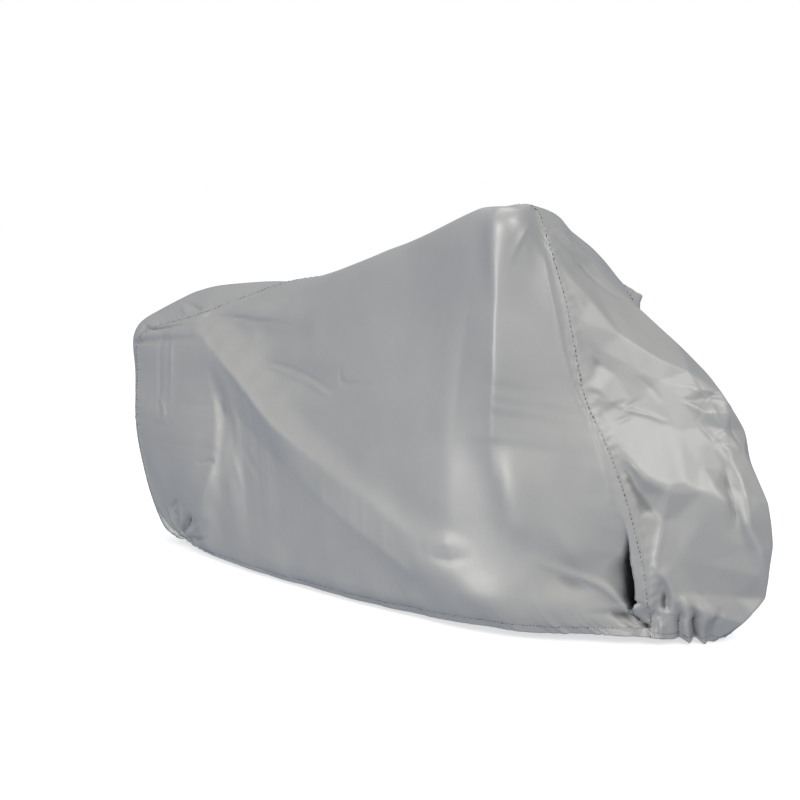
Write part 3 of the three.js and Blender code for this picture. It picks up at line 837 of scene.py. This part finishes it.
right_move = pulled_grid - right_grid + side_moves(pulled_grid, RIGHT_CREASES, 11)
left_move = side_moves(left_grid, LEFT_CREASES, 31)
print("right panel moves by up to", (MM * np.abs(right_move).max()).round(1), "mm")

# %% Moves of the centre panel
FRONT_PLEATS = {"pitch": 0.05, "depth": 0.006, "reach": 0.045}
REAR_PLEATS = {"pitch": 0.045, "depth": 0.009, "reach": 0.05}
CENTRE_FACET, CENTRE_CRUMPLE, FRONT_LESS, REAR_MORE = 0.12, 0.0015, 0.0005, 0.0015
CENTRE_HELD = 0.03
FRONT_FROM = CELLS_UP + CELLS_ALONG


def centre_moves(grid, creases, seed):
    """All creases, facets, gathers and puckers of the centre panel."""
    u, v = run(grid, 1), run(grid, 0)
    left = u[:, -1:] - u
    to_front_hem = v[-1:] - v
    station = np.broadcast_to(centre_at[:, None], u.shape)
    front = smooth(station, FRONT_FROM - 1, FRONT_FROM + 4)
    rear = 1 - smooth(station, CELLS_UP - 3, CELLS_UP + 3)
    gather = pleats(u, to_front_hem, seed, **FRONT_PLEATS) + pleats(u, v, seed + 10, **REAR_PLEATS)
    height = CENTRE_CRUMPLE - FRONT_LESS * front + REAR_MORE * rear
    crumple = softened(height * facets(u, v, seed + 2, CENTRE_FACET))
    low = centre_at >= FRONT_FROM - 2
    up = np.broadcast_to(to_front_hem[low].mean(1, keepdims=True), u[low].shape)
    held = smooth(np.minimum(u, left), 0, CENTRE_HELD)
    puckers = seam_pucker(v, u, seed + 4) + seam_pucker(v, left, seed + 5)
    normal = outward(grid)
    creased = crease_moves(grid, creases) + (gather + crumple)[..., None] * normal
    creased[low] += front[low][..., None] * front_planes(grid[low], u[low], up, seed + 3)
    return held[..., None] * creased + puckers[..., None] * normal


centre_move = centre_moves(centre_grid, CENTRE_CREASES, 51)
print("centre panel moves by up to", (MM * np.abs(centre_move).max()).round(1), "mm")

# %% [markdown]
# ## Seams and hems
# At a seam both panels turn inwards side by side, which leaves a fine groove with rounded lips.
# At the hem the cloth is turned under and lies inside against itself. Both are a few more lines
# at the edge of the grid, so each panel is still one piece of cloth.

# %% Turned edges
GROOVE = ((0.0010, 0.0), (0.0045, 0.0002))
HEM_TURN = ((0.0018, -0.0022), (0.0042, -0.0004), (0.0050, 0.0200))
UP = np.array((0.0, 0.0, 1.0))


def with_seam(grid, shared, axis, end):
    """A grid with its edge at one end of an axis turned in along the seam's shared direction."""
    lines = np.moveaxis(grid, axis, 0)
    lines = lines[::-1] if end else lines
    back = unit(lines[1] - lines[0])
    more = np.array([lines[0] - depth * shared + step * back for depth, step in GROOVE])
    lines = np.concatenate([more[::-1], lines])
    return np.moveaxis(lines[::-1] if end else lines, 0, axis)


def with_hem(grid, end):
    """A grid with its first or last row turned under and up inside."""
    rows = grid[::-1] if end else grid
    inward = -outward(grid)[-1 if end else 0]
    inward[:, Z] = 0
    inward = unit(inward)
    more = np.array([rows[0] + depth * inward + rise * UP for depth, rise in HEM_TURN])
    rows = np.concatenate([more[::-1], rows])
    return rows[::-1] if end else rows


# %% Creased and sewn grids


def sewn_line(array):
    """The sewn edge of a side panel's array, from the rear hem over the top to the front hem."""
    return np.concatenate([array[:, 0], array[-1, 1:], array[::-1, -1][1:]])


side_at = np.concatenate([side_up, CELLS_UP + side_along[1:], (STATIONS - side_up)[::-1][1:]])
centre_normal = outward(centre_grid)


def shared_directions(side_grid, edge):
    """Seam directions at the side's and at the centre panel's points."""
    side = sewn_line(outward(side_grid))
    centre = centre_normal[:, edge]
    at_side = side + np.stack([np.interp(side_at, centre_at, centre[:, k]) for k in range(3)], 1)
    at_centre = centre + np.stack([np.interp(centre_at, side_at, side[:, k]) for k in range(3)], 1)
    return unit(at_side), unit(at_centre)


def longer(line, before, after):
    """A line with the points at its ends repeated."""
    return np.concatenate([np.repeat(line[:1], before, 0), line, np.repeat(line[-1:], after, 0)])


def sewn_side(grid, shared):
    """A side panel with its three seams and its hem."""
    rows, columns = grid.shape[:2]
    rear, top, front = shared[:rows], shared[rows - 1:rows + columns - 1], shared[rows + columns - 2:][::-1]
    hem, seam = len(HEM_TURN), len(GROOVE)
    sides = with_seam(with_hem(grid, False), longer(rear, hem, 0), 1, False)
    sides = with_seam(sides, longer(front, hem, 0), 1, True)
    return with_seam(sides, longer(top, seam, seam), 0, True)


def sewn_centre(grid, shared_right, shared_left):
    """The centre panel with its two seams and its two hems."""
    hemmed = with_hem(with_hem(grid, False), True)
    hem = len(HEM_TURN)
    sewn = with_seam(hemmed, longer(shared_right, hem, hem), 1, False)
    return with_seam(sewn, longer(shared_left, hem, hem), 1, True)


right_seam, centre_right_seam = shared_directions(right_grid, 0)
left_seam, centre_left_seam = shared_directions(left_grid, -1)
right_cloth = sewn_side(right_grid + right_move, right_seam)
left_cloth = sewn_side(left_grid + left_move, left_seam)
centre_cloth = sewn_centre(centre_grid + centre_move, centre_right_seam, centre_left_seam)

# %% [markdown]
# ## Sheets
# Each grid becomes one sheet of cloth that faces outwards. The turned seams and hems hide its cut
# edges. A UV map in metres carries the weave, so its threads keep their size everywhere. Each point
# also stores how far it stands out from the cloth around it: coated cloth is rubbed pale on its
# ridges, and its tucks are painted dark as painted shade.

# %% Ridges and tucks
CAVITY_ROUNDS = 80
CAVITY_DEPTH = 0.014


def cavity(grid):
    """How far the cloth stands out from the cloth around it, from -1 in a tuck to 1 on a ridge."""
    around = softened(grid, CAVITY_ROUNDS)
    return np.clip(((grid - around) * outward(grid)).sum(2) / CAVITY_DEPTH, -1, 1)


# %% [markdown]
# The deep tuck at the front corner is painted darkest just behind its edge, as painted shade. The last
# number at each point of its line says how much, in tenths, and the painted shade thins out over a few
# centimetres.

# %% Painted shade behind the edge of the tuck
TUCK_EDGE = [(830, -195, 345, 0), (846, -179, 265, 2), (846, -160, 185, 12), (845, -150, 115, 14),
             (850, -150, 70, 9), (860, -150, 45, 0)]
TUCK_REACH = 0.052
# Scale of the painted shade along the tuck's edge.
PAINTED_SHADE_SCALE = 100


def tuck_painted_shade(grid, path, reach):
    """Painted shade on one side of a path, which grows towards it. The path's lifts say how much."""
    stop, amount, _ = crossings(grid, path)
    along = run(grid, 1)
    away = along[np.arange(len(grid)), stop][:, None] - along
    painted_shade = np.where(away >= 0, PAINTED_SHADE_SCALE * amount[:, None] * np.exp(-np.abs(away) / reach), 0)
    hem, seam = len(HEM_TURN), len(GROOVE)
    return np.pad(painted_shade, ((hem, seam), (seam, seam)), mode="edge")


# %% Sheets on the grids


def cloth_piece(name, grid, painted_shade=0.0):
    """A sheet on a grid as a new object."""
    rows, columns = grid.shape[:2]
    place = np.arange(rows * columns).reshape(rows, columns)
    faces = np.stack([place[:-1, :-1], place[:-1, 1:], place[1:, 1:], place[1:, :-1]], -1).reshape(-1, 4)
    facing = np.cross(np.gradient(grid, axis=1), np.gradient(grid, axis=0))
    if (facing * (grid - HEART)).sum() < 0:
        faces = faces[:, ::-1]
    mesh = bpy.data.meshes.new(name)
    mesh.from_pydata(grid.reshape(-1, 3).tolist(), [], faces.tolist())
    mesh.shade_smooth()
    flat = np.stack([run(grid, 1), run(grid, 0)], -1).reshape(-1, 2)
    corner = np.empty(len(mesh.loops), np.int32)
    mesh.loops.foreach_get("vertex_index", corner)
    uv = mesh.uv_layers.new(name="cloth")
    uv.data.foreach_set("uv", flat[corner].astype(np.float32).ravel())
    hollow = mesh.attributes.new("cavity", "FLOAT", "POINT")
    # Painted shade in the tuck lowers the stored value, so the colour there is painted darker.
    hollow.data.foreach_set("value", np.maximum(cavity(grid) - painted_shade, -1).astype(np.float32).ravel())
    piece = bpy.data.objects.new(name, mesh)
    bpy.context.scene.collection.objects.link(piece)
    print(name, 2 * len(mesh.polygons), "triangles")
    return piece


# The right panel's tuck gets painted shade behind its edge.
right_panel = cloth_piece("right_panel", right_cloth, tuck_painted_shade(right_grid, TUCK_EDGE, TUCK_REACH))
left_panel = cloth_piece("left_panel", left_cloth)
centre_panel = cloth_piece("centre_panel_cloth", centre_cloth)

# %% [markdown]
# ## Nodes from Python
# Stitches and finishes are both made with nodes. One small class keeps that short: it stands for a
# socket, Python's signs work on it as shader maths, and one method adds any other node.

# %% A socket as a Python value


class Value:
    """A socket that Python's signs work on. Each sign adds one Math node."""

    def __init__(self, tree, socket=None):
        self.tree = tree
        self.socket = socket

    def join(self, socket, value):
        """Links a Value to a socket, or sets anything else as the socket's own value."""
        if isinstance(value, Value):
            self.tree.links.new(value.socket, socket)
        else:
            socket.default_value = value

    def node(self, kind, settings=None, output=0, inputs=None, **sockets):
        """Any other node: settings, inputs by number, sockets by name. Returns one output."""
        node = self.tree.nodes.new(kind)
        for name, value in (settings or {}).items():
            setattr(node, name, value)
        for number, value in (inputs or {}).items():
            self.join(node.inputs[number], value)
        for name, value in sockets.items():
            self.join(node.inputs[name.replace("_", " ")], value)
        return Value(self.tree, node.outputs[output])

    def other(self, output):
        """Another output of the same node."""
        return Value(self.tree, self.socket.node.outputs[output])

    def math(self, operation, *values):
        return self.node("ShaderNodeMath", {"operation": operation}, 0, dict(enumerate(values)))

    def __add__(self, other):
        return self.math("ADD", self, other)

    def __radd__(self, other):
        return self.math("ADD", other, self)

    def __sub__(self, other):
        return self.math("SUBTRACT", self, other)

    def __rsub__(self, other):
        return self.math("SUBTRACT", other, self)

    def __mul__(self, other):
        return self.math("MULTIPLY", self, other)

    def __rmul__(self, other):
        return self.math("MULTIPLY", other, self)

    def __truediv__(self, other):
        return self.math("DIVIDE", self, other)

    def __rtruediv__(self, other):
        return self.math("DIVIDE", other, self)

    def sine(self):
        return self.math("SINE", self)

    def above(self, least):
        return self.math("MAXIMUM", self, least)

    def mix(self, first, second):
        """A colour between two colours, with this value as the share of the second."""
        first, second = (c if isinstance(c, Value) else (*c, 1) for c in (first, second))
        return self.node("ShaderNodeMix", {"data_type": "RGBA"}, 2, {0: self, 6: first, 7: second})


# %% [markdown]
# ## Stitches
# Both seams are top-stitched with dark thread close to the seam, and the hem is sewn about 16 mm
# up. One stitch is a small rounded bar. Geometry Nodes repeats it along a line: the line is cut
# into even steps, a stitch is put on each step and turned with the line, and seeded random
# values make some of them a little longer or move them a little.

# %% A geometry node group for stitches
STITCH_SIZES = (0.65, 1.25)
STITCH_SHIFT = (0.0006, 0.0006, 0.0012)


def stitch_group():
    """Node group that sews along the edges of a mesh line, and the identifiers of its inputs."""
    group = bpy.data.node_groups.new("stitches", "GeometryNodeTree")
    sockets = {}
    for name, kind in (("Geometry", "Geometry"), ("Step", "Float"), ("Length", "Float"),
                       ("Thread", "Float"), ("Material", "Material")):
        socket = group.interface.new_socket(name, in_out="INPUT", socket_type="NodeSocket" + kind)
        sockets[name] = socket.identifier
    group.interface.new_socket("Geometry", in_out="OUTPUT", socket_type="NodeSocketGeometry")
    start = Value(group)
    line = start.node("NodeGroupInput")
    width = line.other("Thread")
    curve = start.node("GeometryNodeMeshToCurve", Mesh=line)
    steps = start.node("GeometryNodeCurveToPoints", {"mode": "LENGTH"},
                       Curve=curve, Length=line.other("Step"))
    ball = start.node("GeometryNodeMeshUVSphere", Segments=6, Rings=5, Radius=0.5)
    size = start.node("ShaderNodeCombineXYZ", X=width, Y=width, Z=line.other("Length"))
    bar = start.node("GeometryNodeTransform", Geometry=ball, Scale=size)
    vary = start.node("FunctionNodeRandomValue", None, 1, dict(zip((2, 3), STITCH_SIZES)), Seed=7)
    shift = start.node("FunctionNodeRandomValue", {"data_type": "FLOAT_VECTOR"}, 0,
                       {0: [-most for most in STITCH_SHIFT], 1: STITCH_SHIFT}, Seed=3)
    uneven = start.node("GeometryNodeSetPosition", Geometry=steps, Offset=shift)
    sewn = start.node("GeometryNodeInstanceOnPoints", Points=uneven, Instance=bar,
                      Rotation=steps.other("Rotation"), Scale=vary)
    real = start.node("GeometryNodeRealizeInstances", Geometry=sewn)
    dressed = start.node("GeometryNodeSetMaterial", Geometry=real, Material=line.other("Material"))
    start.join(group.nodes.new("NodeGroupOutput").inputs["Geometry"], dressed)
    return group, sockets


stitches, stitch_sockets = stitch_group()


def stitched(name, lines, material, step, length, width):
    """A piece with a row of stitches along each line of points."""
    points, edges = [], []
    for line in lines:
        edges += [(len(points) + i, len(points) + i + 1) for i in range(len(line) - 1)]
        points += [tuple(p) for p in line]
    guide = bpy.data.objects.new(name + "_line", bpy.data.meshes.new(name + "_line"))
    guide.data.from_pydata(points, edges, [])
    bpy.context.scene.collection.objects.link(guide)
    sewing = guide.modifiers.new("stitches", "NODES")
    sewing.node_group = stitches
    for socket, value in (("Step", step), ("Length", length), ("Thread", width), ("Material", material)):
        sewing[stitch_sockets[socket]] = value
    bpy.context.view_layer.update()
    seen = guide.evaluated_get(bpy.context.evaluated_depsgraph_get())
    mesh = bpy.data.meshes.new_from_object(seen)
    bpy.data.objects.remove(guide)
    mesh.name = name
    mesh.shade_smooth()
    piece = bpy.data.objects.new(name, mesh)
    bpy.context.scene.collection.objects.link(piece)
    print(name, len(mesh.polygons), "faces")
    return piece


# %% [markdown]
# ## Materials
# The cloth is a plain-woven polyester with a silver coating: a neutral grey with a soft satin
# gloss. A fine weave shows close up, the coating is slightly blotchy and a little wrinkled, and paler
# on rubbed ridges. Deep tucks are painted dark as painted shade. The thread is dark grey and dull.

# %% Silver cloth
THREAD_STEP = 0.0011
COATING = (0.438, 0.440, 0.442), (0.538, 0.537, 0.532)
RUBBED = (0.66, 0.665, 0.67)
# Near black colour of the painted shade in deep tucks.
PAINTED_SHADE_COLOUR = (0.03, 0.03, 0.034)
WEAVE_RELIEF, WRINKLE_RELIEF = 0.00006, 0.00035


def new_material(name):
    """A material with its principled shader and a Value to start expressions from."""
    material = bpy.data.materials.new(name)
    material.use_nodes = True
    tree = material.node_tree
    return material, tree.nodes["Principled BSDF"], Value(tree)


def dress(start, shader, **sockets):
    """Joins values to a shader's sockets by name."""
    for name, value in sockets.items():
        start.join(shader.inputs[name.replace("_", " ")], value)


silver, shader, start = new_material("silver_cloth")
u = start.node("ShaderNodeSeparateXYZ", Vector=start.node("ShaderNodeUVMap", {"uv_map": "cloth"}))
v = u.other(1)
turn = 2 * math.pi / THREAD_STEP
weave = (u * turn).sine() * (v * turn).sine() * 0.5 + 0.5
place = start.node("ShaderNodeTexCoord", None, "Object")
blotch = start.node("ShaderNodeTexNoise", Vector=place, Scale=7.0, Detail=4.0, Roughness=0.6)
grain = start.node("ShaderNodeTexNoise", Vector=place, Scale=160.0, Detail=3.0, Roughness=0.6)
wrinkle = start.node("ShaderNodeTexNoise", Vector=place, Scale=34.0, Detail=5.0, Roughness=0.55,
                     Distortion=0.6)
hollow = start.node("ShaderNodeAttribute", {"attribute_name": "cavity"}, "Fac")
rubbed = (hollow - 0.2).above(0)
# Painted shade: deep in a tuck the colour is darkened towards near black.
painted_shade_share = (hollow * -1.8 - 0.72).above(0)
clean = (blotch * 0.7 + grain * 0.2 + weave * 0.1).mix(*COATING)
worn = (rubbed * 0.35).mix(clean, RUBBED)
relief = weave * WEAVE_RELIEF + wrinkle * WRINKLE_RELIEF
dress(start, shader, Base_Color=(painted_shade_share * 0.95).mix(worn, PAINTED_SHADE_COLOUR), Metallic=0.36,
      Roughness=0.405 + blotch * 0.10 + weave * 0.03,
      Normal=start.node("ShaderNodeBump", Height=relief, Strength=0.55, Distance=1.0))
for panel in (right_panel, left_panel, centre_panel):
    panel.data.materials.append(silver)

# %% Dark thread
THREAD_TONES = (0.030, 0.030, 0.034), (0.090, 0.090, 0.096)
thread, shader, start = new_material("dark_thread")
place = start.node("ShaderNodeTexCoord", None, "Object")
fibre = start.node("ShaderNodeTexNoise", Vector=place, Scale=900.0, Detail=2.0)
dress(start, shader, Base_Color=fibre.mix(*THREAD_TONES), Roughness=0.6 + fibre * 0.3)

# %% Rows of stitches
ABOVE = 0.0003
HEM_STITCH_HEIGHT = 0.016
SEAM_STITCH = {"step": 0.012, "length": 0.0075, "width": 0.0015}
HEM_STITCH = {"step": 0.009, "length": 0.006, "width": 0.0014}
IN_FROM_SEAM = 2


def lifted(grid):
    """A grid's points just above the cloth."""
    return grid + ABOVE * outward(grid)


def seam_line(grid, line):
    """The line of a side panel that lies so many lines in from its seams."""
    return sewn_line(grid[line:-line, line:-line])


def hem_row(grid):
    """The number of the row nearest to the hem stitches' height."""
    return int(np.abs(run(grid, 0).mean(1) - HEM_STITCH_HEIGHT).argmin())


right_lifted = lifted(right_grid + right_move)
left_lifted = lifted(left_grid + left_move)
centre_lifted = lifted(centre_grid + centre_move)
hem_lines = [right_lifted[hem_row(right_grid)], left_lifted[hem_row(left_grid)],
             centre_lifted[hem_row(centre_grid)], centre_lifted[-1 - hem_row(centre_grid[::-1])]]
hem_lines = [line[IN_FROM_SEAM:-IN_FROM_SEAM] for line in hem_lines]
right_line, left_line = (seam_line(grid, IN_FROM_SEAM) for grid in (right_lifted, left_lifted))
right_stitches = stitched("right_seam_stitches", [right_line], thread, **SEAM_STITCH)
left_stitches = stitched("left_seam_stitches", [left_line], thread, **SEAM_STITCH)
hem_stitches = stitched("hem_stitches", hem_lines, thread, **HEM_STITCH)

# %% [markdown]
# ## Studio
# A white floor lies just under the hem, with a white backdrop behind. Three large soft lights stand
# around: one in front, above and to the right, which makes the front facets shine, one far out on
# the near side, and one overhead. The rest of the studio gives an even light, which is weaker and
# cooler from behind and below. The floor glows a little, so that it stays white, but throws no
# light on the cloth, as a glare from below would wash the folds out.

# %% Floor
FLOOR_HALF = 12.0
FLOOR_LEVEL = -0.003
corners = [(FLOOR_HALF * x, FLOOR_HALF * y, FLOOR_LEVEL) for x, y in ((-1, -1), (1, -1), (1, 1), (-1, 1))]
floor_mesh = bpy.data.meshes.new("floor")
floor_mesh.from_pydata(corners, [], [(0, 1, 2, 3)])
floor = bpy.data.objects.new("floor", floor_mesh)
floor.visible_diffuse = False
floor.visible_glossy = False
bpy.context.scene.collection.objects.link(floor)
pale, shader, start = new_material("pale_floor")
dress(start, shader, Base_Color=(0.90, 0.90, 0.90, 1), Roughness=0.9,
      Emission_Color=(1, 1, 1, 1), Emission_Strength=0.6)
floor_mesh.materials.append(pale)

# %% Even light
NEAR_LIGHT = (0.58, 0.58, 0.575)
FAR_LIGHT = (0.24, 0.29, 0.385)

world = bpy.data.worlds.new("studio")
bpy.context.scene.world = world
world.use_nodes = True
start = Value(world.node_tree)
x = start.node("ShaderNodeSeparateXYZ", Vector=start.node("ShaderNodeTexCoord"))
nearness = x * 0.45 - x.other(1) * 0.4 + x.other(2) * 0.85
rise = start.node("ShaderNodeMapRange", Value=nearness, From_Min=-0.55, From_Max=0.4)
seen = start.node("ShaderNodeLightPath", None, "Is Camera Ray")
backdrop = seen.mix(rise.mix(FAR_LIGHT, NEAR_LIGHT), (1, 1, 1))
dress(start, world.node_tree.nodes["Background"], Color=backdrop)
bpy.context.scene.view_settings.view_transform = "Standard"

# %% Soft lights


def soft_light(name, at, aim, size, power, colour):
    """A square soft light that faces a point."""
    data = bpy.data.lights.new(name, "AREA")
    data.size = size
    data.energy = power
    data.color = colour
    light = bpy.data.objects.new(name, data)
    light.location = at
    light.rotation_euler = (Vector(aim) - Vector(at)).to_track_quat("-Z", "Y").to_euler()
    bpy.context.scene.collection.objects.link(light)


soft_light("key", (3.7, -1.9, 2.9), (0.4, 0, 0.5), 2.0, 43, (1.0, 0.985, 0.955))
soft_light("side", (-0.5, -5.0, 0.8), (-0.3, 0, 0.35), 2.6, 88, (1.0, 0.975, 0.91))
soft_light("top", (-0.6, 0.8, 4.4), (-0.2, 0, 0.8), 2.8, 34, (1.0, 0.99, 0.97))

# %% [markdown]
# ## Joining the frame
# Each panel rides on the one body and stands for its packed sheet, which is hidden. The stitches ride on it
# too.

# %% Pieces and sheets
for panel, node, size, area, sewing in (
        (right_panel, "side_panel_right", (2.10, 1.20), 1.80, [right_stitches, hem_stitches]),
        (left_panel, "side_panel_left", (2.10, 1.00), 1.55, [left_stitches]),
        (centre_panel, "centre_panel", (0.62, 3.80), 1.45, [])):
    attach(panel, "root")
    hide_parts(node)
for sewing in (right_stitches, left_stitches, hem_stitches):
    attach(sewing, "root")
